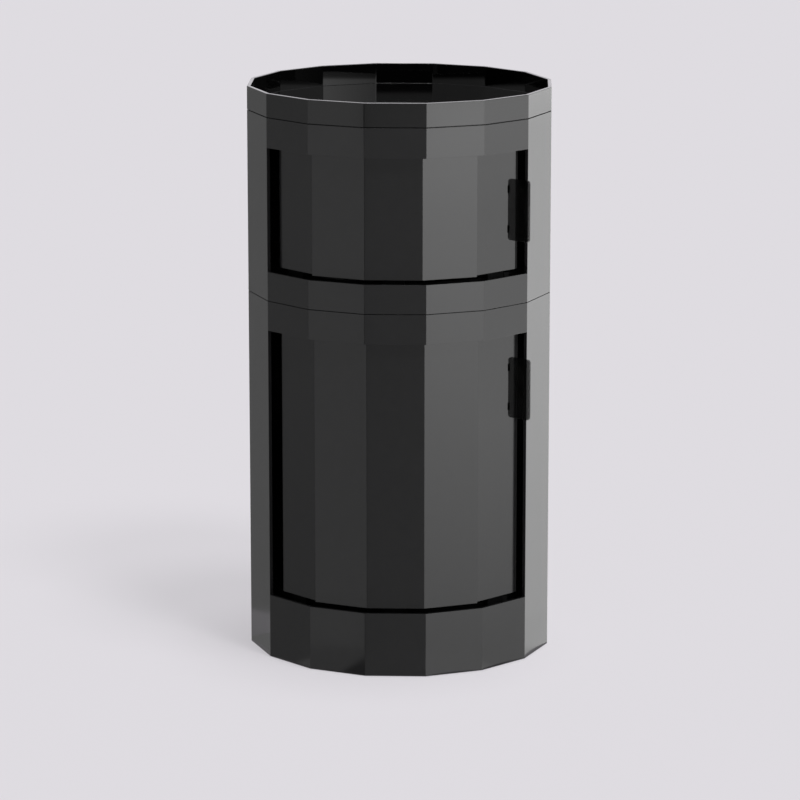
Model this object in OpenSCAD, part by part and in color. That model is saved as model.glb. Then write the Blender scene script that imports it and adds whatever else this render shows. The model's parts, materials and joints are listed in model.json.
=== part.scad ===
// A sixteen-sided drum cabinet. Two stacked drums each hold a shelf space behind a door
// that slides round inside the wall, and a tray stands on top and lifts off.
// Millimetres. +Z is up, the front faces -Y, and the origin is on the axis at floor level.

/* [Drums] */
// Width of the drums across opposite corners
drum_w = 350; // [330:5:400]
// Thickness of the drum walls
wall_t = 4; // [3.5:0.25:5]
// Height of the lower drum's top edge above the floor
lower_h = 415; // [340:5:500]
// Height of the upper drum from seam to seam
upper_h = 207.5; // [170:2.5:300]
// Open seam between two stacked pieces
seam_gap = 0.9; // [0.6:0.1:1.2]

/* [Door openings] */
// Plain band above each opening, and under the upper one
band_h = 33.5; // [32:0.5:42]
// Plain band under the lower opening, with the feet
base_band_h = 73.5; // [66:0.5:95]

/* [Tray] */
// Height of the tray's rim above the upper drum
tray_h = 27.5; // [20:0.5:45]
// Thickness of the tray's floor
tray_floor_t = 3; // [2:0.5:4]
// Thickness of the ring under the tray that drops into the drum
spigot_t = 3; // [2:0.5:4]

/* [Floors] */
// Thickness of the two floors
floor_t = 4; // [3.5:0.5:6]
// How far a floor lies below the lower edge of its opening
floor_drop = 6; // [5:0.5:7]

/* [Doors] */
// Thickness of the door panels
door_t = 3.5; // [3:0.25:4.5]
// Gap from the corners of a door to the flats of the wall
door_gap = 3; // [2.5:0.1:3.5]
// Gap from the opening's lower edge up to the door
door_lift = 3.2; // [2.4:0.2:4]
// How much higher the two end sides of a door stop, over the gliders
door_end_step = 1.8; // [1:0.2:3]
// How far a door reaches up behind the band over its opening
door_rise = 8; // [6:0.5:9]
// Angle from the middle of a door to its left end, in degrees
door_left_angle = 53; // [51:0.1:54]
// Angle from the middle of a door to its right end, in degrees
door_right_angle = 54.5; // [54.2:0.1:54.8]
// How far the upper door stands open at rest, in degrees
upper_ajar_angle = 0.8; // [0:0.1:2]
// Width of the soft strip on the closing end of a door
strip_w = 3.4; // [2.5:0.1:4]

/* [Handles] */
// Height of a handle
handle_h = 69; // [50:1:80]
// How far a handle stands out from the door
handle_reach = 30; // [26:1:36]
// Thickness of a handle
handle_t = 3; // [2.5:0.25:4]
// Radius of a handle's corners
handle_corner_r = 3.5; // [2:0.5:5]
// Angle from the middle of a door to its handle, in degrees
handle_angle = 50.7; // [50.2:0.1:51]
// Middle of the upper handle above the middle of its opening
upper_handle_raise = 4; // [0:0.5:8]
// Middle of the lower handle below the top of its opening
lower_handle_drop = 61.5; // [55:0.5:140]

/* [Feet] */
// How far the feet stand out below the wall
foot_h = 1; // [1:0.5:3]
// Diameter of a foot's pad
foot_d = 16; // [12:1:18]

/* [Hidden] */
$fn = 96;

// Overrun of every cut
cut_over = 1;
// Number of sides of the drums, and the angle of one side
sides = 16;
facet = 360 / sides;
// Number of sides that the openings take up
opening_sides = 5;
opening_half = opening_sides * facet / 2;

// Ledges moulded inside the walls, on every second side
ledge_count = sides / 2;
ledge_w = 18;
ledge_d = 10;
floor_ledge_h = 12;
guide_ledge_h = 10;
// Depth below a drum's top edge at which it carries what stands on it
seat_depth = 8;
// Side gap of a piece that drops into a drum
slip = 0.4;
// Thickness of the ring that joins the drums
joining_t = 4;

// Large countersunk screws, for the floors and the guides
screw_d = 4;
screw_head_d = 7.6;
screw_head_h = 2.2;
screw_l = 12;
screw_drive_d = 2.6;
screw_drive_h = 1.4;
// Small countersunk screws, for what is fixed to the doors
small_d = 3;
small_head_d = 5.6;
small_head_h = 1.6;
small_drive_d = 2;
small_drive_h = 1;
// How deep a small screw bites into the door
door_bite = 2.6;
// Gap round a screw, and below its tip
screw_fit = 0.05;
tip_gap = 0.3;

// The rail on each floor that carries the door, let into a groove
rail_w = 3;
rail_h = 5;
rail_seat = 1.5;
rail_fit = 0.05;
// Distance from the door's inner face to the middle of the rail
rail_inset = 7.4;
// Running gap between a door's gear and what guides it
run_gap = 0.3;

// Gliders that carry a door on its rail, and guide shoes at its top
gear_angle = 2 * facet;
glider_w = 24;
glider_lip = 2.6;
glider_step_h = 5;
glider_plate_t = 4.5;
glider_plate_h = 20;
glider_floor_gap = 0.9;
shoe_w = 24;
shoe_plate_t = 4.5;
shoe_plate_h = 20;
shoe_arm_h = 6;
shoe_lip = 3;
gear_screw_x = 7.5;
guide_pin_d = 4;
guide_pin_gap = 0.5;

// The guide ring over each door, with its round channel
guide_t = 3.5;
guide_rib_t = 2;
guide_rib_h = 6;
guide_rim_w = 5;

// Stops on the floors, beside the rail
stop_w = 8;
stop_d = 3.6;
stop_top_gap = 1;
stop_rail_gap = 1;
stop_peg_d = 2.6;
stop_peg_h = 2.5;
stop_peg_fit = 0.05;
stop_touch_gap = 0.3;
// Angle through which a door opens
door_travel = 100;

// Handle root: two tongues through the door, one near each end, and the plate behind it
handle_seat = 0.2;
tongue_inset = 8;
tongue_h = 8;
tongue_slot_gap = 0.2;
flange_t = 3;
flange_w = 18;
flange_screw_x = 5.6;
flange_screw_inset = 8;

// Soft strip, thinner than the panel by this much on each face
strip_inset = 0.4;

// Feet: pad let into a block, and its stem
foot_count = 4;
foot_pad_t = 3;
foot_fit = 0.05;
stem_d = 7;
stem_h = 9;
foot_block_w = 24;
foot_block_d = 22;
foot_block_h = 16;

// Worked out from the sizes above
corner_r = drum_w / 2;
flat_r = corner_r * cos(facet / 2);
inner_flat_r = flat_r - wall_t;
slip_flat_r = inner_flat_r - slip;
ledge_r = inner_flat_r - ledge_d / 2;

upper_top = lower_h + upper_h;
cabinet_h = upper_top + tray_h;
lower_open_z = base_band_h;
lower_open_top = lower_h - band_h;
upper_open_z = lower_h + band_h;
upper_open_top = upper_top - band_h;

base_floor_z = lower_open_z - floor_drop;
middle_floor_z = upper_open_z - floor_drop;
lower_seat_z = lower_h - seat_depth;
upper_seat_z = upper_top - seat_depth;

lower_handle_z = lower_open_top - lower_handle_drop;
upper_handle_z = (upper_open_z + upper_open_top) / 2 + upper_handle_raise;

door_corner_r = inner_flat_r - door_gap;
door_flat_r = door_corner_r * cos(facet / 2);
door_in_r = door_flat_r - door_t;
strip_angle = strip_w / door_corner_r * 180 / PI;
// Angle at which the end sides of a door begin
door_end_angle = 1.5 * facet;

rail_r = door_in_r - rail_inset;
rail_out_r = rail_r + rail_w / 2;
channel_half = guide_pin_d / 2 + run_gap;
guide_out_r = rail_r + channel_half + guide_rib_t;
guide_in_r = rail_r - channel_half - guide_rib_t;

gear_angles = [-gear_angle, 0, gear_angle];
stop_h = floor_drop + door_lift - stop_top_gap;
stop_x = glider_w / 2 + stop_touch_gap;

handle_facet = facet * round(handle_angle / facet);
handle_turn = handle_angle - handle_facet;
handle_face_r = door_flat_r / cos(handle_turn);
fin_root_r = handle_face_r + handle_seat;
fin_tip_r = handle_face_r + handle_reach;
root_h = handle_h - 2 * tongue_inset;
tongue_in_r = door_in_r / cos(handle_turn) - flange_t / 2;
flange_x = door_in_r * tan(handle_turn);
flange_screw_z = root_h / 2 - flange_screw_inset;

body_black = [0.16, 0.16, 0.165];
gear_grey = [0.32, 0.32, 0.33];
rubber_black = [0.08, 0.08, 0.08];
smoke = [0.1, 0.1, 0.11, 0.6];
steel = [0.6, 0.6, 0.62];

// Unit vector at an angle from the front towards +X
function heading(a) = [sin(a), -cos(a)];

// Corners of a sixteen-sided outline whose flats lie at radius r
function drum_points(r) = [for (i = [0:sides - 1]) heading(facet * (i + 0.5)) * r / cos(facet / 2)];

module drum_solid(r, z0, z1) {
    translate([0, 0, z0])
        linear_extrude(z1 - z0)
            polygon(drum_points(r));
}

module drum_ring(r, t, z0, z1) {
    difference() {
        drum_solid(r, z0, z1);
        drum_solid(r - t, z0 - cut_over, z1 + cut_over);
    }
}

// Pie slice from angle a0 to a1, wider than the drum
module slice(a0, a1, z0, z1) {
    translate([0, 0, z0])
        linear_extrude(z1 - z0)
            polygon([
                [0, 0],
                heading(a0) * drum_w,
                heading((a0 + a1) / 2) * drum_w,
                heading(a1) * drum_w
            ]);
}

module disc(r, z0, z1) {
    translate([0, 0, z0])
        cylinder(r = r, h = z1 - z0);
}

module round_ring(r0, r1, z0, z1) {
    difference() {
        disc(r1, z0, z1);
        disc(r0, z0 - cut_over, z1 + cut_over);
    }
}

// Block at the front of the drum, between two sideways places, two radii and two heights
module front_block(x0, x1, r0, r1, z0, z1) {
    translate([x0, -r1, z0])
        cube([x1 - x0, r1 - r0, z1 - z0]);
}

// Countersunk screw that points down, with the top of its head at the origin
module countersunk(d, head_d, head_h, l, drive_d, drive_h) {
    difference() {
        rotate_extrude()
            polygon([[0, 0], [head_d / 2, 0], [d / 2, -head_h], [d / 2, -l], [0, -l]]);
        translate([0, 0, -drive_h])
            cylinder(d = drive_d, h = drive_h + cut_over, $fn = 6);
    }
}

// Hole for such a screw
module countersunk_hole(d, head_d, head_h, l) {
    hole_r = d / 2 + screw_fit;
    sink_r = head_d / 2 + screw_fit;
    rotate_extrude()
        polygon([
            [0, cut_over],
            [sink_r, cut_over],
            [sink_r, 0],
            [hole_r, -head_h],
            [hole_r, -l - tip_gap],
            [0, -l - tip_gap]
        ]);
}

module large_screw() {
    countersunk(screw_d, screw_head_d, screw_head_h, screw_l, screw_drive_d, screw_drive_h);
}

module large_hole() {
    countersunk_hole(screw_d, screw_head_d, screw_head_h, screw_l);
}

module small_screw(plate_t) {
    countersunk(small_d, small_head_d, small_head_h, plate_t + door_bite, small_drive_d, small_drive_h);
}

module small_hole(plate_t) {
    countersunk_hole(small_d, small_head_d, small_head_h, plate_t + door_bite);
}

// Repeats a piece on each ledge, at height z
module on_ledges(z) {
    for (i = [0:ledge_count - 1])
        rotate([0, 0, i * 360 / ledge_count])
            translate([0, -ledge_r, z])
                children();
}

// Ledges whose tops lie at height z
module ledges(z, h) {
    for (i = [0:ledge_count - 1])
        rotate([0, 0, i * 360 / ledge_count])
            front_block(-ledge_w / 2, ledge_w / 2, inner_flat_r - ledge_d, flat_r - wall_t / 2, z - h, z);
}

module at_feet() {
    for (i = [0:foot_count - 1])
        rotate([0, 0, (i + 0.5) * 360 / foot_count])
            translate([0, foot_block_d / 2 - inner_flat_r, 0])
                children();
}

// Wall of one drum with its opening, floor ledges and guide ledges
module drum_wall(z0, z1, open_z0, open_z1, floor_z, seat_z) {
    difference() {
        drum_ring(flat_r, wall_t, z0, z1);
        slice(-opening_half, opening_half, open_z0, open_z1);
    }
    difference() {
        ledges(floor_z - floor_t, floor_ledge_h);
        on_ledges(floor_z) large_hole();
    }
    difference() {
        ledges(seat_z - guide_t, guide_ledge_h);
        on_ledges(seat_z) large_hole();
    }
}

module foot_blocks() {
    difference() {
        for (i = [0:foot_count - 1])
            rotate([0, 0, (i + 0.5) * 360 / foot_count])
                front_block(
                    -foot_block_w / 2, foot_block_w / 2,
                    inner_flat_r - foot_block_d, flat_r - wall_t / 2,
                    foot_h, foot_h + foot_block_h
                );
        at_feet() {
            disc(foot_d / 2 + foot_fit, 0, foot_pad_t);
            disc(stem_d / 2 + foot_fit, 0, foot_pad_t + stem_h + tip_gap);
        }
    }
}

module lower_shell() {
    color(body_black) {
        drum_wall(foot_h, lower_h, lower_open_z, lower_open_top, base_floor_z, lower_seat_z);
        foot_blocks();
    }
}

module upper_shell() {
    color(body_black)
        drum_wall(lower_h + seam_gap, upper_top, upper_open_z, upper_open_top, middle_floor_z, upper_seat_z);
}

// Floor with its top at height z, a groove for the rail and holes for screws and stops
module drum_floor(z) {
    difference() {
        drum_solid(slip_flat_r, z - floor_t, z);
        on_ledges(z) large_hole();
        round_ring(
            rail_r - rail_w / 2 - rail_fit, rail_out_r + rail_fit,
            z - rail_seat, z + cut_over
        );
        at_stops() disc(stop_peg_d / 2 + stop_peg_fit, z - stop_peg_h - tip_gap, z + cut_over);
    }
}

module base_floor() {
    color(body_black) drum_floor(base_floor_z);
}

module middle_floor() {
    color(body_black) drum_floor(middle_floor_z);
}

// Stands on the lower guide ring and carries the upper drum by its floor ledges
module joining_ring() {
    color(body_black)
        drum_ring(slip_flat_r, joining_t, lower_seat_z, middle_floor_z - floor_t - floor_ledge_h);
}

module tray() {
    color(body_black) {
        drum_ring(flat_r, wall_t, upper_top + seam_gap, cabinet_h);
        drum_solid(flat_r - wall_t / 2, upper_top + seam_gap, upper_top + seam_gap + tray_floor_t);
        drum_ring(slip_flat_r, spigot_t, upper_seat_z, upper_top + seam_gap + tray_floor_t / 2);
    }
}

module floor_rail(z) {
    color(gear_grey)
        round_ring(rail_r - rail_w / 2, rail_out_r, z - rail_seat, z + rail_h);
}

module lower_floor_rail() {
    floor_rail(base_floor_z);
}

module upper_floor_rail() {
    floor_rail(middle_floor_z);
}

// Ring over a door, screwed down on the guide ledges, with a round channel under it
module door_guide(seat_z) {
    rib_z = seat_z - guide_t - guide_rib_h;
    color(gear_grey)
        difference() {
            union() {
                drum_solid(slip_flat_r, seat_z - guide_t, seat_z);
                disc(guide_out_r, rib_z, seat_z - guide_t / 2);
            }
            on_ledges(seat_z) large_hole();
            round_ring(
                rail_r - channel_half, rail_r + channel_half,
                rib_z - cut_over, seat_z - guide_t
            );
            disc(guide_in_r, rib_z - cut_over, seat_z + cut_over);
        }
}

module lower_door_guide() {
    door_guide(lower_seat_z);
}

module upper_door_guide() {
    door_guide(upper_seat_z);
}

module ledge_screws(z) {
    color(steel) on_ledges(z) large_screw();
}

module base_floor_screws() {
    ledge_screws(base_floor_z);
}

module middle_floor_screws() {
    ledge_screws(middle_floor_z);
}

module lower_guide_screws() {
    ledge_screws(lower_seat_z);
}

module upper_guide_screws() {
    ledge_screws(upper_seat_z);
}

// Middle of each stop: one where the right glider ends when the door closes,
// one where the left glider ends when it is fully open
module at_stops() {
    stop_y = rail_out_r + stop_rail_gap + stop_d / 2;
    rotate([0, 0, gear_angle])
        translate([stop_x + stop_w / 2, -stop_y, 0])
            children();
    rotate([0, 0, -gear_angle - door_travel])
        translate([-stop_x - stop_w / 2, -stop_y, 0])
            children();
}

module door_stops(z) {
    color(rubber_black)
        at_stops() {
            translate([-stop_w / 2, -stop_d / 2, z])
                cube([stop_w, stop_d, stop_h]);
            disc(stop_peg_d / 2, z - stop_peg_h, z + stop_h / 2);
        }
}

module lower_door_stops() {
    door_stops(base_floor_z);
}

module upper_door_stops() {
    door_stops(middle_floor_z);
}

module rubber_feet() {
    color(rubber_black)
        at_feet() {
            disc(foot_d / 2, 0, foot_pad_t);
            disc(stem_d / 2, foot_pad_t / 2, foot_pad_t + stem_h);
        }
}

// Places a small screw or its hole in the door, from a plate of that thickness inside it
module into_door(x, z, plate_t) {
    translate([x, plate_t - door_in_r, z])
        rotate([-90, 0, 0])
            children();
}

module at_gear() {
    for (a = gear_angles)
        rotate([0, 0, a])
            children();
}

function door_z0(open_z0) = open_z0 + door_lift;
function door_z1(open_z1) = open_z1 + door_rise;

module at_glider_screws(open_z0) {
    at_gear()
        for (side = [-1, 1])
            into_door(
                side * gear_screw_x,
                door_z0(open_z0) + glider_step_h + (glider_plate_h - glider_step_h) / 2,
                glider_plate_t
            )
                children();
}

module at_shoe_screws(open_z1) {
    at_gear()
        for (side = [-1, 1])
            into_door(
                side * gear_screw_x,
                door_z1(open_z1) - shoe_arm_h - (shoe_plate_h - shoe_arm_h) / 2,
                shoe_plate_t
            )
                children();
}

module at_handle_screws(handle_z) {
    rotate([0, 0, handle_facet])
        for (side = [-1, 1])
            for (level = [-1, 1])
                into_door(flange_x + side * flange_screw_x, handle_z + level * flange_screw_z, flange_t)
                    children();
}

// The two tongues of a handle between two radii, or their slots where there is a gap
module tongues(handle_z, r0, r1, gap) {
    rotate([0, 0, handle_angle])
        for (side = [-1, 1])
            translate([0, 0, handle_z + side * (root_h - tongue_h) / 2])
                front_block(
                    -handle_t / 2 - gap, handle_t / 2 + gap,
                    r0, r1,
                    -tongue_h / 2 - gap, tongue_h / 2 + gap
                );
}

module door_panel(open_z0, open_z1, handle_z) {
    z0 = door_z0(open_z0);
    z1 = door_z1(open_z1);
    color(body_black)
        difference() {
            intersection() {
                drum_ring(door_flat_r, door_t, z0, z1);
                slice(-door_left_angle, door_right_angle, z0 - cut_over, z1 + cut_over);
            }
            for (ends = [[-opening_half, -door_end_angle], [door_end_angle, opening_half]])
                slice(ends[0], ends[1], z0 - cut_over, z0 + door_end_step);
            at_glider_screws(open_z0) small_hole(glider_plate_t);
            at_shoe_screws(open_z1) small_hole(shoe_plate_t);
            at_handle_screws(handle_z) small_hole(flange_t);
            tongues(handle_z, door_in_r - door_t, door_flat_r + door_t, tongue_slot_gap);
        }
}

module door_edge_strip(open_z0, open_z1) {
    z0 = door_z0(open_z0) + door_end_step;
    z1 = door_z1(open_z1);
    color(rubber_black)
        intersection() {
            drum_ring(door_flat_r - strip_inset, door_t - 2 * strip_inset, z0, z1);
            slice(door_right_angle, door_right_angle + strip_angle, z0 - cut_over, z1 + cut_over);
        }
}

// Outline with four round corners, from the origin
module rounded_plate(w, h, r) {
    translate([r, 0])
        square([w - 2 * r, h]);
    translate([0, r])
        square([w, h - 2 * r]);
    for (x = [r, w - r])
        for (y = [r, h - r])
            translate([x, y])
                circle(r = r);
}

// Clear fin that stands out from the door, its tongues and the plate behind the door
module door_handle(handle_z) {
    color(smoke)
        difference() {
            union() {
                rotate([0, 0, handle_angle])
                    translate([-handle_t / 2, -fin_tip_r, handle_z - handle_h / 2])
                        rotate([90, 0, 90])
                            linear_extrude(handle_t)
                                rounded_plate(fin_tip_r - fin_root_r, handle_h, handle_corner_r);
                tongues(handle_z, tongue_in_r, fin_root_r + handle_corner_r, 0);
                rotate([0, 0, handle_facet])
                    front_block(
                        flange_x - flange_w / 2, flange_x + flange_w / 2,
                        door_in_r - flange_t, door_in_r,
                        handle_z - root_h / 2, handle_z + root_h / 2
                    );
            }
            at_handle_screws(handle_z) small_hole(flange_t);
        }
}

module handle_screws(handle_z) {
    color(steel) at_handle_screws(handle_z) small_screw(flange_t);
}

// Feet of a door: each has a plate against the door and a groove that rides on the rail
module door_gliders(open_z0, floor_z) {
    z0 = door_z0(open_z0);
    foot_in_r = rail_r - rail_w / 2 - run_gap - glider_lip;
    color(gear_grey)
        difference() {
            at_gear() {
                front_block(
                    -glider_w / 2, glider_w / 2, foot_in_r, door_in_r,
                    floor_z + glider_floor_gap, z0 + glider_step_h
                );
                front_block(
                    -glider_w / 2, glider_w / 2, door_in_r - glider_plate_t, door_in_r,
                    z0, z0 + glider_plate_h
                );
            }
            round_ring(
                rail_r - rail_w / 2 - run_gap, rail_out_r + run_gap,
                floor_z, floor_z + rail_h + run_gap
            );
            at_glider_screws(open_z0) small_hole(glider_plate_t);
        }
}

module glider_screws(open_z0) {
    color(steel) at_glider_screws(open_z0) small_screw(glider_plate_t);
}

// Shoes at the top of a door: each has a pin that runs in the channel of the guide ring
module guide_shoes(open_z1, seat_z) {
    z1 = door_z1(open_z1);
    color(gear_grey)
        difference() {
            at_gear() {
                front_block(
                    -shoe_w / 2, shoe_w / 2, rail_r - guide_pin_d / 2 - shoe_lip, door_in_r,
                    z1 - shoe_arm_h, z1
                );
                front_block(
                    -shoe_w / 2, shoe_w / 2, door_in_r - shoe_plate_t, door_in_r,
                    z1 - shoe_plate_h, z1
                );
                translate([0, -rail_r, 0])
                    disc(guide_pin_d / 2, z1 - shoe_arm_h / 2, seat_z - guide_t - guide_pin_gap);
            }
            at_shoe_screws(open_z1) small_hole(shoe_plate_t);
        }
}

module shoe_screws(open_z1) {
    color(steel) at_shoe_screws(open_z1) small_screw(shoe_plate_t);
}

module lower_door_panel() {
    door_panel(lower_open_z, lower_open_top, lower_handle_z);
}

module lower_door_edge_strip() {
    door_edge_strip(lower_open_z, lower_open_top);
}

module lower_door_handle() {
    door_handle(lower_handle_z);
}

module lower_handle_screws() {
    handle_screws(lower_handle_z);
}

module lower_door_gliders() {
    door_gliders(lower_open_z, base_floor_z);
}

module lower_glider_screws() {
    glider_screws(lower_open_z);
}

module lower_guide_shoes() {
    guide_shoes(lower_open_top, lower_seat_z);
}

module lower_shoe_screws() {
    shoe_screws(lower_open_top);
}

// The upper door stands slightly open at rest, turned to the left
module ajar() {
    rotate([0, 0, -upper_ajar_angle])
        children();
}

module upper_door_panel() {
    ajar() door_panel(upper_open_z, upper_open_top, upper_handle_z);
}

module upper_door_edge_strip() {
    ajar() door_edge_strip(upper_open_z, upper_open_top);
}

module upper_door_handle() {
    ajar() door_handle(upper_handle_z);
}

module upper_handle_screws() {
    ajar() handle_screws(upper_handle_z);
}

module upper_door_gliders() {
    ajar() door_gliders(upper_open_z, middle_floor_z);
}

module upper_glider_screws() {
    ajar() glider_screws(upper_open_z);
}

module upper_guide_shoes() {
    ajar() guide_shoes(upper_open_top, upper_seat_z);
}

module upper_shoe_screws() {
    ajar() shoe_screws(upper_open_top);
}

lower_shell();
upper_shell();
base_floor();
middle_floor();
joining_ring();
tray();
lower_floor_rail();
upper_floor_rail();
lower_door_guide();
upper_door_guide();
base_floor_screws();
middle_floor_screws();
lower_guide_screws();
upper_guide_screws();
lower_door_stops();
upper_door_stops();
rubber_feet();
lower_door_panel();
lower_door_edge_strip();
lower_door_handle();
lower_handle_screws();
lower_door_gliders();
lower_glider_screws();
lower_guide_shoes();
lower_shoe_screws();
upper_door_panel();
upper_door_edge_strip();
upper_door_handle();
upper_handle_screws();
upper_door_gliders();
upper_glider_screws();
upper_guide_shoes();
upper_shoe_screws();
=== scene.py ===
# %% [markdown]
# # A faceted drum cabinet, dressed for its picture
# The cabinet is two sixteen-sided drums with a tray on top. Every solid piece already has its
# real shape and size, so this lesson is about surfaces: what black moulded plastic does with
# light, how a clear smoked tab differs from it, and how a few hidden cards shape reflections.
# The first step loads those solids. They stay where they are, and only their finish changes.

# %% Load the solid pieces
import bpy
import json
import math
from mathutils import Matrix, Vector


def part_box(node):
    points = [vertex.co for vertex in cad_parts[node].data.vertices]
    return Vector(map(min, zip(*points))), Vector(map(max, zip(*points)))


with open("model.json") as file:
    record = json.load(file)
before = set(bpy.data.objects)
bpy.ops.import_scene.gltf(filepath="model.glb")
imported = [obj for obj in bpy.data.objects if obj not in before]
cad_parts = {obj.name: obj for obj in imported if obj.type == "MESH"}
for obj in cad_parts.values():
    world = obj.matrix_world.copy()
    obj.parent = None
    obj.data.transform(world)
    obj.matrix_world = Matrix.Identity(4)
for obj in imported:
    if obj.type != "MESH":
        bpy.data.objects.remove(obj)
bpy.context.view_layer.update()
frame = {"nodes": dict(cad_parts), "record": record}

nodes = frame["nodes"]

# %% [markdown]
# ## The size of the cabinet
# It helps to know the object's size before anything is placed round it. The width and the
# height are read from the tray, in metres. The tray's polished rim follows that height, and the
# camera, the lamps and the cards are set for a cabinet of this size.

# %% Measure the tray
mm = 0.001
tray_low, tray_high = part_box("tray")
cabinet_width = tray_high.y - tray_low.y
cabinet_top = tray_high.z
print(f"flat-to-flat {cabinet_width / mm:.1f} mm, height {cabinet_top / mm:.1f} mm")

# %% [markdown]
# ## Helpers for placing things
# Turns are counted on the floor, from the cabinet's front towards its right side. One helper
# gives the direction of a turn, and the other puts a new object in the scene.

# %% Make the placing helpers


def direction(turn):
    """Unit vector on the floor, turned from the cabinet's front towards its right side."""
    return Vector((math.sin(turn), -math.cos(turn), 0))


def put(name, data):
    """New object with that data, in the scene."""
    made = bpy.data.objects.new(name, data)
    bpy.context.scene.collection.objects.link(made)
    return made


print("a turn of 90 degrees points to", [round(v, 3) for v in direction(math.pi / 2)])

# %% [markdown]
# ## The camera
# A product picture like this one is taken from far away with a long lens, so that upright edges
# stay nearly upright. The camera looks a little down on the cabinet and stands slightly to its
# right. A small downward shift of the film does the rest of the framing.

# %% Place the camera
camera_distance = 4.1648
camera_height = 1.2089
camera_turn = math.radians(1.766)
camera_pitch = math.radians(11.941)
film_width_mm = 36
focal_length_mm = 166.27
film_shift = -0.05
view_limit = 200

lens = bpy.data.cameras.new("camera")
lens.sensor_width = film_width_mm
lens.lens = focal_length_mm
lens.shift_y = film_shift
lens.clip_end = view_limit
camera = put("camera", lens)
camera.location = direction(camera_turn) * camera_distance + Vector((0, 0, camera_height))
camera.rotation_euler = (math.pi / 2 - camera_pitch, 0, camera_turn)
bpy.context.scene.camera = camera
print("camera at", [round(v, 3) for v in camera.location])

# %% [markdown]
# ## Helpers for shader nodes
# Materials here are small networks of nodes. Making each node by hand takes many lines, so one
# helper adds a node, sets its choices, and fills or links its inputs in a single call. The
# others use it for what comes back often: a sum, a spread of values and a grey ramp.

# %% Make the node helpers


def add(tree, kind, inputs=None, **settings):
    """New node of that kind: settings are its own choices, and an input is a value or a socket."""
    made = tree.nodes.new(kind)
    for key, value in settings.items():
        setattr(made, key, value)
    for key, value in (inputs or {}).items():
        if isinstance(value, bpy.types.NodeSocket):
            tree.links.new(value, made.inputs[key])
        else:
            made.inputs[key].default_value = value
    return made


def calc(tree, operation, first, second, **settings):
    """Result of one operation on two numbers."""
    return add(
        tree, "ShaderNodeMath", {0: first, 1: second}, operation=operation, **settings
    ).outputs[0]


def spread(tree, factor, low, high, factor_low=0, factor_high=1):
    """Low to high, as the factor goes from its own low to its own high."""
    inputs = {
        "Value": factor,
        "From Min": factor_low,
        "From Max": factor_high,
        "To Min": low,
        "To Max": high,
    }
    return add(tree, "ShaderNodeMapRange", inputs).outputs[0]


def ramp(tree, factor, stops):
    """Grey ramp through (position, level) pairs."""
    made = add(tree, "ShaderNodeValToRGB", {"Fac": factor})
    band = made.color_ramp.elements
    while len(band) < len(stops):
        band.new(0.5)
    for element, (position, level) in zip(band, stops):
        element.position = position
        element.color = (level, level, level, 1)
    return made.outputs["Color"]


def empty_material(name):
    """New material with an empty network."""
    material = bpy.data.materials.new(name)
    material.use_nodes = True
    material.node_tree.nodes.clear()
    return material


print("node helpers:", [helper.__name__ for helper in (add, calc, spread, ramp, empty_material)])

# %% [markdown]
# ## The floor
# The cabinet stands on a plain pale floor that runs on without a horizon. A big plane would do,
# and a round one costs the same and has no corners that could show. Most of its tone is an even
# glow, and only a share of it takes the shadow, which keeps the shadow as faint as in the
# picture. Light that bounces off the floor meets it as ordinary paper.

# %% Make the floor
pale = (0.737, 0.716, 0.753, 1)
floor_colour = (0.733, 0.712, 0.749, 1)
floor_radius = 60
rim_points = 64
shadow_share = 0.4
even_glow = 1.115

rim_turns = [2 * math.pi * i / rim_points for i in range(rim_points)]
floor_mesh = bpy.data.meshes.new("floor")
floor_mesh.from_pydata(
    [direction(turn) * floor_radius for turn in rim_turns], [], [list(range(rim_points))]
)
floor = put("floor", floor_mesh)
paper = empty_material("floor_paper")
tree = paper.node_tree
sheet = add(tree, "ShaderNodeBsdfDiffuse", {"Color": floor_colour})
even = add(tree, "ShaderNodeEmission", {"Color": pale, "Strength": even_glow})
rays = add(tree, "ShaderNodeLightPath")
lit = spread(tree, rays.outputs["Is Diffuse Ray"], shadow_share, 1)
both = add(tree, "ShaderNodeMixShader", {0: lit, 1: even.outputs[0], 2: sheet.outputs[0]})
add(tree, "ShaderNodeOutputMaterial", {"Surface": both.outputs[0]})
floor_mesh.materials.append(paper)
print("floor radius", floor_radius, "m, share that takes the shadow", shadow_share)

# %% [markdown]
# ## The world behind the floor
# The world has the same pale grey wherever it is seen, in a mirror or through clear plastic too,
# so the floor's far edge doesn't show. The light that it gives to the scene is set apart from
# that colour, and is much weaker.

# %% Make the world
world_glow = 0.15

world = bpy.data.worlds.new("studio")
bpy.context.scene.world = world
world.use_nodes = True
tree = world.node_tree
tree.nodes.clear()
rays = add(tree, "ShaderNodeLightPath")
seen = calc(tree, "ADD", rays.outputs["Is Camera Ray"], rays.outputs["Is Glossy Ray"])
seen = calc(tree, "ADD", seen, rays.outputs["Is Transmission Ray"], use_clamp=True)
soft_light = add(tree, "ShaderNodeBackground", {"Color": (1, 1, 1, 1), "Strength": world_glow})
backdrop = add(tree, "ShaderNodeBackground", {"Color": pale, "Strength": 1})
either = add(
    tree, "ShaderNodeMixShader", {0: seen, 1: soft_light.outputs[0], 2: backdrop.outputs[0]}
)
add(tree, "ShaderNodeOutputWorld", {"Surface": either.outputs[0]})
print("world glow", world_glow)

# %% [markdown]
# ## Three soft lamps
# The shadow in the picture is pale and soft. It starts dark at the left of the foot, runs to the
# left, and bends away towards the back, and there is a trace of it in front of the foot. One lamp
# can't do that, but three can: a lower one at the right, a higher one further round, and one
# almost overhead. Sun lamps light the whole floor evenly, so that only the shadow tells of them.

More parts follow.
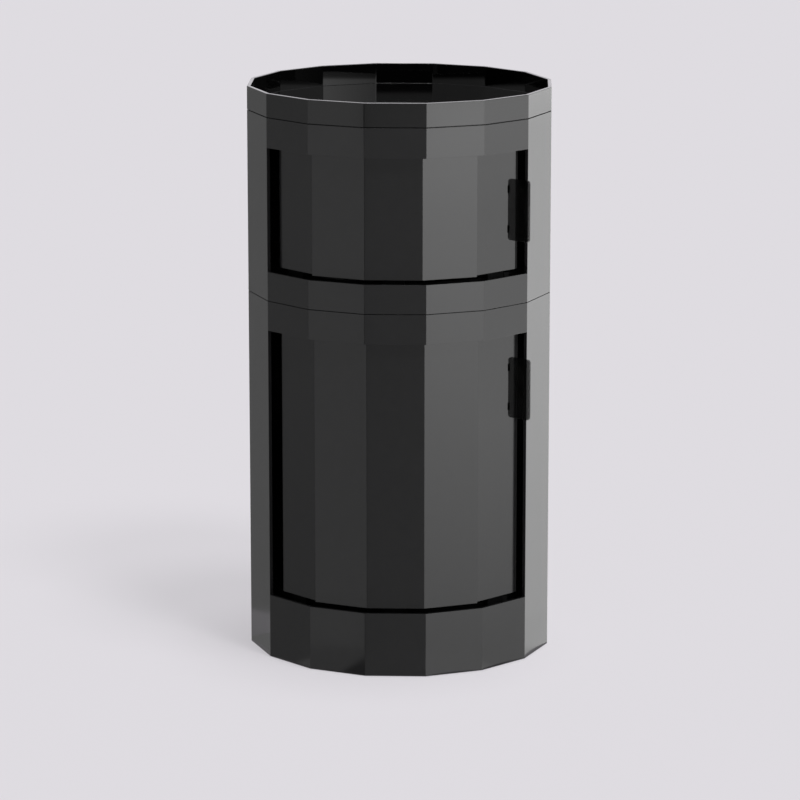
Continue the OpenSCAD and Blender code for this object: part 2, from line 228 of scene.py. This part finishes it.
# %% Hang the lamps
# For each lamp: its turn, its height over the horizon and its apparent size in degrees, and
# its strength.
lamps = {
    "right_lamp": (38, 53, 13, 0.8),
    "high_right_lamp": (55, 70, 14, 0.759),
    "top_lamp": (135, 85, 14, 0.791),
}
for name, (turn, height, size, strength) in lamps.items():
    lamp = bpy.data.lights.new(name, "SUN")
    lamp.energy = strength
    lamp.angle = math.radians(size)
    towards = direction(math.radians(turn)) * math.cos(math.radians(height))
    towards.z = math.sin(math.radians(height))
    put(name, lamp).rotation_euler = towards.to_track_quat("Z", "Y").to_euler()
    print(name, "shines from", [round(v, 2) for v in towards])

# %% [markdown]
# ## Cards that only reflections see
# Black plastic has almost no colour of its own: what tells one facet from the next is what it
# mirrors. Photographers stand white and black cards round such an object. Here the cards are
# curved walls that give light to glossy rays alone, so they draw the facets but don't light the
# floor. Each wall has one ramp round the cabinet and one from its foot to its top. A ramp's
# levels stay below 1, so each glow is a share of the brightest that a card may have.

# %% Make the card helper
card_steps = 48
brightest = 8


def card(name, radius, low, high, round_stops, rise_stops, foot_radius=None):
    """Curved wall round the cabinet, or a flat ring where it has a foot radius.

    Stops are (degrees, glow) round it, from end to end, and (metres, share) up it.
    """
    turn_from, turn_to = round_stops[0][0], round_stops[-1][0]
    span = turn_to - turn_from
    turns = [math.radians(turn_from + span * i / card_steps) for i in range(card_steps + 1)]
    ends = ((foot_radius or radius, low), (radius, high))
    points = [direction(turn) * reach + Vector((0, 0, z)) for turn in turns for reach, z in ends]
    faces = [(2 * i, 2 * i + 1, 2 * i + 3, 2 * i + 2) for i in range(card_steps)]
    mesh = bpy.data.meshes.new(name)
    mesh.from_pydata(points, [], faces)
    wall = put(name, mesh)

    material = empty_material(name)
    tree = material.node_tree
    where = add(tree, "ShaderNodeTexCoord")
    place = add(tree, "ShaderNodeSeparateXYZ", {0: where.outputs["Object"]})
    ahead = calc(tree, "MULTIPLY", place.outputs["Y"], -1)
    turn = calc(tree, "ARCTAN2", place.outputs["X"], ahead)
    round_share = spread(tree, turn, 0, 1, math.radians(turn_from), math.radians(turn_to))
    rise_share = spread(tree, place.outputs["Z"], 0, 1, low, high)
    round_levels = [((a - turn_from) / span, v / brightest) for a, v in round_stops]
    rise_levels = [((z - low) / (high - low), v) for z, v in rise_stops]
    glow = ramp(tree, round_share, round_levels)
    rise = ramp(tree, rise_share, rise_levels)
    both = calc(tree, "MULTIPLY", glow, rise)
    strength = calc(tree, "MULTIPLY", both, brightest)
    light = add(tree, "ShaderNodeEmission", {"Strength": strength})
    add(tree, "ShaderNodeOutputMaterial", {"Surface": light.outputs[0]})
    mesh.materials.append(material)
    wall.visible_camera = False
    wall.visible_diffuse = False
    wall.visible_transmission = False
    wall.visible_shadow = False


print("a card has", card_steps, "steps, and its glow may go up to", brightest)

# %% [markdown]
# ## Three kinds of card
# Near cards stand close round the cabinet and end just above its top. Flat rings on the floor
# carry them in towards its foot, for what the lowest part of each facet mirrors. High cards
# stand further out and higher, where only the inside and the rim of the tray see them.

# %% Make the three kinds
near_radius = 0.27
near_top = 0.66
far_radius = 0.42
far_top = 1.3
foot_ring_radius = 0.178
ring_low = 0.0006
ring_high = 0.0007


def near_card(name, round_stops, rise_stops):
    """Card close round the cabinet."""
    card(name, near_radius, 0, near_top, round_stops, rise_stops)


def floor_ring(name, round_stops):
    """Flat ring from the near cards in to the cabinet's foot."""
    even_rise = [(ring_low, 1), (ring_high, 1)]
    card(name, near_radius, ring_low, ring_high, round_stops, even_rise, foot_ring_radius)


def high_card(name, round_stops, rise_stops):
    """Card further out that starts where the near ones end."""
    card(name, far_radius, near_top, far_top, round_stops, rise_stops)


print("near cards at", near_radius, "m and high cards at", far_radius, "m from the middle")

# %% [markdown]
# ## The bright side
# The facets that face right mirror the brightest cards. Each card falls off from its top to its
# foot in a few plain steps, and they dim further round, so that every facet gets its own tone.

# %% Stand the right cards
near_card(
    "right_card_a",
    [(14, 0), (21, 6.55), (38, 6.75), (46, 5.8)],
    [(0, 0.385), (0.5, 0.78), (0.59, 0.91), (0.652, 0.95), (0.657, 0)],
)
near_card(
    "right_card_b",
    [(46, 5.65), (56, 4.75), (70, 4.65), (78, 4.3)],
    [(0, 0.42), (0.25, 0.65), (0.5, 0.7), (0.652, 0.85), (0.657, 0)],
)
near_card(
    "right_card_c",
    [(78, 4.6), (84, 4.2), (91, 3.5), (120, 3.2), (130, 0)],
    [(0, 0.68), (0.4, 0.82), (0.59, 0.82), (0.652, 1), (0.657, 0)],
)
floor_ring(
    "right_ring",
    [
        (11, 0), (12, 2.6), (36, 2.6), (44, 1.95),
        (66, 1.95), (74, 2.25), (120, 2.25), (130, 0),
    ],
)
print("bright cards from 14 to 130 degrees")

# %% [markdown]
# ## The dark side and the back
# The front and the left are far dimmer. The dark gap in the left card is what the edge between
# the front facet and its left neighbour mirrors, which draws a thin line there. Behind the
# cabinet, one card in three tones keeps the back facets apart.

# %% Stand the left and back cards
near_card(
    "left_card",
    [
        (-46, 0.68), (-42, 1.24), (-23.2, 1.24), (-22.2, 0),
        (-10, 0), (-9.5, 0.77), (8, 0.77),
    ],
    [(0, 0.9), (0.3, 0.94), (0.6, 1), (0.66, 1)],
)
floor_ring("front_ring", [(-11, 0.72), (11, 0.72)])
near_card(
    "side_card",
    [(-84, 0.59), (-46, 0.59)],
    [(0, 0.84), (0.15, 0.9), (0.3, 0.97), (0.66, 1)],
)
floor_ring(
    "left_ring",
    [(-84, 0.5), (-46, 0.5), (-42, 0.9), (-23, 0.9), (-20, 0.3), (-12, 0.3)],
)
near_card(
    "grey_card",
    [(-130, 0.42), (-84, 0.42)],
    [(0, 0.92), (0.3, 0.96), (0.66, 1)],
)
near_card(
    "back_card",
    [(140, 1), (163, 1), (168, 0.62), (192, 0.62), (197, 0.42), (220, 0.42)],
    [(0, 0.9), (0.66, 1)],
)
print("dim cards from -130 to 8 degrees, and from 140 to 220")

# %% [markdown]
# ## The high cards
# The glossy inside of the tray mirrors these three. The height at which each one starts to glow
# sets where its reflection ends on the tray's wall.

# %% Stand the high cards
high_card(
    "high_card_left",
    [(-130, 0.6), (-84, 0.75), (-52, 0.75), (-44, 1.2), (-26, 1.2), (-18, 0)],
    [(0.66, 0), (0.686, 0), (0.689, 1), (1.1, 1), (1.3, 0)],
)
high_card(
    "high_card_middle",
    [(-18, 0.7), (16, 0.7)],
    [(0.66, 0), (0.724, 0), (0.728, 1), (1.1, 1), (1.3, 0)],
)
high_card(
    "high_card_right",
    [(16, 0), (24, 4.2), (44, 4.2), (60, 0.95), (146, 0.85)],
    [(0.66, 0.2), (0.687, 0.2), (0.69, 1), (1.1, 1), (1.3, 0)],
)
print("high cards from", near_top, "to", far_top, "m")

# %% [markdown]
# ## Helpers for finishes
# All finishes here work alike: two shades of one colour in a pattern, and a roughness that
# differs from place to place. Three helpers make a shade, blend two values and close the
# network with its main shader.

# %% Make the finish helpers


def shade(colour, share):
    """Colour made darker or lighter."""
    return [c * share for c in colour] + [1]


def blend(tree, factor, first, second, kind="RGBA"):
    """From the first value to the second by the factor."""
    made = add(
        tree, "ShaderNodeMix", {"Factor": factor, "A": first, "B": second}, data_type=kind
    )
    return made.outputs["Result"]


def finish(tree, inputs):
    """Main shader with those inputs, joined to the output."""
    skin = add(tree, "ShaderNodeBsdfPrincipled", inputs)
    add(tree, "ShaderNodeOutputMaterial", {"Surface": skin.outputs[0]})


print("a lighter shade of grey:", shade((0.1, 0.1, 0.1), 1.2))

# %% [markdown]
# ## Black moulded plastic
# The drums and the doors are injection moulded and left satin. Close up, such a surface isn't
# one flat black: the mould leaves a fine grain, the thick plastic cools into slow waves, and hands
# and cloths polish it unevenly. Along raised edges the colour is painted lighter, a painted
# highlight with a little wear in it. Each of these is one noise or one edge mask in the network,
# at its real scale in metres. The edge mask's rounded normals also soften the facet edges where
# the bevel is too narrow to show.

# %% Mix the satin plastic
fine_scale = 2600
smudge_scale = 22
mottle_scale = 55
wave_scale = 7
wave_height = 3e-5
edge_round_radius = 0.0007
edge_samples = 6
plastic_ior = 1.5
satin_range = 0.03
polish_range = 0.015


def noise(tree, where, scale, detail, **more):
    """Noise at that scale, from 0 to 1."""
    inputs = {"Vector": where, "Scale": scale, "Detail": detail, **more}
    return add(tree, "ShaderNodeTexNoise", inputs).outputs["Fac"]


def bump(tree, height, distance, normal):
    """Normal that a height pattern of that depth gives."""
    inputs = {"Height": height, "Distance": distance, "Normal": normal}
    return add(tree, "ShaderNodeBump", inputs).outputs[0]


def moulded(name, colour, gloss_level, satin, grain, inside=None, rim=None):
    """Moulded plastic. Satin is its roughness, and grain is the depth of its mould grain.

    Inside is (radius, roughness) of a polished inner side. Rim is the height above which an
    edge has a second, polished coat.
    """
    material = empty_material(name)
    tree = material.node_tree
    where = add(tree, "ShaderNodeTexCoord").outputs["Object"]
    mottle = noise(tree, where, mottle_scale, 5)
    smudge = noise(tree, where, smudge_scale, 8, Roughness=0.62)
    fine = noise(tree, where, fine_scale, 2)
    slow = noise(tree, where, wave_scale, 1)

    edge = add(tree, "ShaderNodeBevel", {"Radius": edge_round_radius}, samples=edge_samples).outputs[0]
    wavy = bump(tree, slow, wave_height, edge)
    grainy = bump(tree, fine, grain, wavy)

    facing = add(tree, "ShaderNodeNewGeometry").outputs["Normal"]
    match = add(tree, "ShaderNodeVectorMath", {0: edge, 1: facing}, operation="DOT_PRODUCT")
    # Painted highlight with a little wear: the colour is made up to 2.5 times lighter along edges.
    edge_highlight_and_wear = spread(tree, match.outputs["Value"], 0, 0.6, 0.99, 0.8)
    patchy_edge_highlight = calc(tree, "MULTIPLY", edge_highlight_and_wear, smudge)
    plain = blend(tree, mottle, shade(colour, 0.8), shade(colour, 1.2))
    edge_highlighted_colour = blend(tree, patchy_edge_highlight, plain, shade(colour, 2.5))

    rough = spread(tree, smudge, satin - satin_range, satin + satin_range, 0.3, 0.7)
    if inside:
        reach, polish = inside
        flat = add(tree, "ShaderNodeVectorMath", {0: where, 1: (1, 1, 0)}, operation="MULTIPLY")
        away = add(tree, "ShaderNodeVectorMath", {0: flat.outputs[0]}, operation="LENGTH")
        inner = calc(tree, "LESS_THAN", away.outputs["Value"], reach)
        shiny = spread(tree, smudge, polish - polish_range, polish + polish_range)
        rough = blend(tree, inner, rough, shiny, kind="FLOAT")

    inputs = {
        "Base Color": edge_highlighted_colour,
        "Roughness": rough,
        "IOR": plastic_ior,
        "Specular IOR Level": gloss_level,
        "Normal": grainy,
    }
    if rim:
        place = add(tree, "ShaderNodeSeparateXYZ", {0: where})
        inputs["Coat Weight"] = calc(tree, "GREATER_THAN", place.outputs["Z"], rim)
    finish(tree, inputs)
    return material


print("the grain repeats about every", round(1 / fine_scale / mm, 2), "mm")

# %% [markdown]
# ## Four kinds of black
# The doors are a little glossier than the drums. The tray is darker, with a polished inside and
# a coated rim, and the gliders and rails are dull and slippery.

# %% Mix the four blacks
black = (0.01, 0.01, 0.0104)
deep_black = (0.0022, 0.0022, 0.0023)
tray_inside = (0.1713, 0.025)
tray_rim = cabinet_top - 0.4 * mm

drum_skin = moulded("satin_black_drum", black, 0.29, 0.17, 1e-6)
door_skin = moulded("satin_black_door", black, 0.29, 0.14, 1e-6)
tray_skin = moulded("tray_black", deep_black, 0.31, 0.24, 2e-7, tray_inside, tray_rim)
gear_skin = moulded("slippery_black_gear", deep_black, 0.03, 0.6, 6e-6)
print("plastics:", drum_skin.name, door_skin.name, tray_skin.name, gear_skin.name)

# %% [markdown]
# ## Clear smoked plastic
# The two pull tabs are sheets of smoked acrylic that stand out from the doors. What matters is
# that the eye goes through them, and that whatever lies behind is dimmed to about a tenth. Each
# of the two faces of a sheet lets a third of the light pass, so the alpha is what is held back.
# A trace of fine scratches keeps the polish from looking computed.

# %% Mix the smoked plastic
sheet_passes = 0.11
hairline_scale = (900, 900, 90)
acrylic_ior = 1.49


def smoked(name, tint):
    """Dimming clear sheet with faint hairlines from wiping."""
    material = empty_material(name)
    tree = material.node_tree
    where = add(tree, "ShaderNodeTexCoord").outputs["Object"]
    stretch = add(tree, "ShaderNodeMapping", {"Vector": where, "Scale": hairline_scale})
    hairline = noise(tree, stretch.outputs[0], 1, 4)
    inputs = {
        "Base Color": tint,
        "Roughness": spread(tree, hairline, 0.04, 0.09, 0.35, 0.75),
        "IOR": acrylic_ior,
        "Specular IOR Level": 0.04,
        "Alpha": 1 - math.sqrt(sheet_passes),
    }
    finish(tree, inputs)
    return material


smoke_skin = smoked("smoked_clear", (0.001, 0.001, 0.001, 1))
print("clear plastic:", smoke_skin.name)

# %% [markdown]
# ## Rubber and zinc
# The feet, the stops and the closing strips are soft black rubber, which scatters light and has
# a dusty bloom. The screws are steel with a zinc coat: a metal with patches that differ a
# little in roughness, because the coat's crystals do.

# %% Mix the rubber and the zinc
pebble_scale = 1400
pebble_height = 2e-5
bloom_scale = 130
crystal_scale = 900
cloud_scale = 300


def cells(tree, where, scale):
    """Distance to the nearest cell's middle, at that scale."""
    inputs = {"Vector": where, "Scale": scale}
    return add(tree, "ShaderNodeTexVoronoi", inputs).outputs["Distance"]


def rubber(name, colour):
    """Matt rubber with a fine pebbled skin."""
    material = empty_material(name)
    tree = material.node_tree
    where = add(tree, "ShaderNodeTexCoord").outputs["Object"]
    pebble = cells(tree, where, pebble_scale)
    bloom = noise(tree, where, bloom_scale, 6)
    bumpy = add(tree, "ShaderNodeBump", {"Height": pebble, "Distance": pebble_height})
    inputs = {
        "Base Color": blend(tree, bloom, shade(colour, 0.7), shade(colour, 1.5)),
        "Roughness": spread(tree, bloom, 0.62, 0.85),
        "Specular IOR Level": 0.08,
        "Normal": bumpy.outputs[0],
    }
    finish(tree, inputs)
    return material


def zinc(name, colour):
    """Zinc-plated steel."""
    material = empty_material(name)
    tree = material.node_tree
    where = add(tree, "ShaderNodeTexCoord").outputs["Object"]
    crystal = cells(tree, where, crystal_scale)
    cloud = noise(tree, where, cloud_scale, 5)
    inputs = {
        "Base Color": blend(tree, cloud, shade(colour, 0.8), shade(colour, 1.15)),
        "Roughness": spread(tree, crystal, 0.28, 0.45),
        "Metallic": 1,
    }
    finish(tree, inputs)
    return material


rubber_skin = rubber("soft_black_rubber", (0.003, 0.003, 0.0031))
zinc_skin = zinc("zinc_plated_steel", (0.44, 0.45, 0.47))
print("rubber and zinc:", rubber_skin.name, zinc_skin.name)

# %% [markdown]
# ## Give every piece its finish
# Each solid names the kind of material that it is made of. A small table turns those kinds into
# the finishes above, so no piece is forgotten, and the print shows how many share each one.

# %% Dress the pieces
skins = {
    "drum_plastic": drum_skin,
    "tray_plastic": tray_skin,
    "door_plastic": door_skin,
    "smoked_plastic": smoke_skin,
    "gear_plastic": gear_skin,
    "soft_rubber": rubber_skin,
    "screw_steel": zinc_skin,
}
kinds = {part["node"]: part["material_slot"] for part in frame["record"]["subparts"]}
for name, piece in nodes.items():
    for slot in piece.material_slots:
        slot.material = skins[kinds[name]]
print({kind: list(kinds.values()).count(kind) for kind in skins})

# %% [markdown]
# ## Edges that catch the light
# No moulded edge is perfectly sharp, and the thin bright or dark line along it is much of what
# makes plastic look real. A bevel modifier rounds every edge that turns far enough. Before it,
# points that lie on each other are welded and flat faces are joined, and after it the normals
# are weighted by area, so that the large faces still render flat.
#
# The widths are the most that an edge gets. The bevel stays narrower where edges lie close
# together. Thin triangles in the doors' mesh halve the turn at some facet edges, so their bevel
# starts at a smaller angle.

# %% Round the edges
soft_edge = {
    "drum_plastic": 0.4 * mm,
    "tray_plastic": 0.5 * mm,
    "door_plastic": 0.35 * mm,
    "smoked_plastic": 0.3 * mm,
    "gear_plastic": 0.3 * mm,
    "soft_rubber": 0.4 * mm,
    "screw_steel": 0.12 * mm,
}
weld_distance = 0.002 * mm
flat_angle = math.radians(0.4)
least_turn = math.radians(20)
least_door_turn = math.radians(13)
bevel_steps = 2
favour_large_faces = 100
door_panels = ("lower_door_panel", "upper_door_panel")

for name, piece in nodes.items():
    if "custom_normal" in piece.data.attributes:
        piece.data.attributes.remove(piece.data.attributes["custom_normal"])
    piece.data.shade_smooth()
    weld = piece.modifiers.new("weld", "WELD")
    weld.merge_threshold = weld_distance
    join = piece.modifiers.new("join_flat", "DECIMATE")
    join.decimate_type = "DISSOLVE"
    join.angle_limit = flat_angle
    bevel = piece.modifiers.new("soft_edge", "BEVEL")
    bevel.width = soft_edge[kinds[name]]
    bevel.segments = bevel_steps
    bevel.limit_method = "ANGLE"
    bevel.angle_limit = least_door_turn if name in door_panels else least_turn
    bevel.use_clamp_overlap = True
    even = piece.modifiers.new("even_normals", "WEIGHTED_NORMAL")
    even.keep_sharp = False
    even.weight = favour_large_faces
print("edges rounded on", len(nodes), "pieces")

# %% [markdown]
# ## Keep the tabs out of reflections
# The doors would mirror the two dark tabs beside them, and the picture shows no such patches.
# So reflections pass the tabs by, while the camera still sees them.

# %% Hide the tabs from reflections
for name in ("lower_door_handle", "upper_door_handle"):
    nodes[name].visible_glossy = False
    print(name, "is left out of reflections")

# %% [markdown]
# ## Settle the colours
# The plain view transform shows colours as they are, which suits a pale product picture.

# %% Finish
bpy.context.scene.view_settings.view_transform = "Standard"
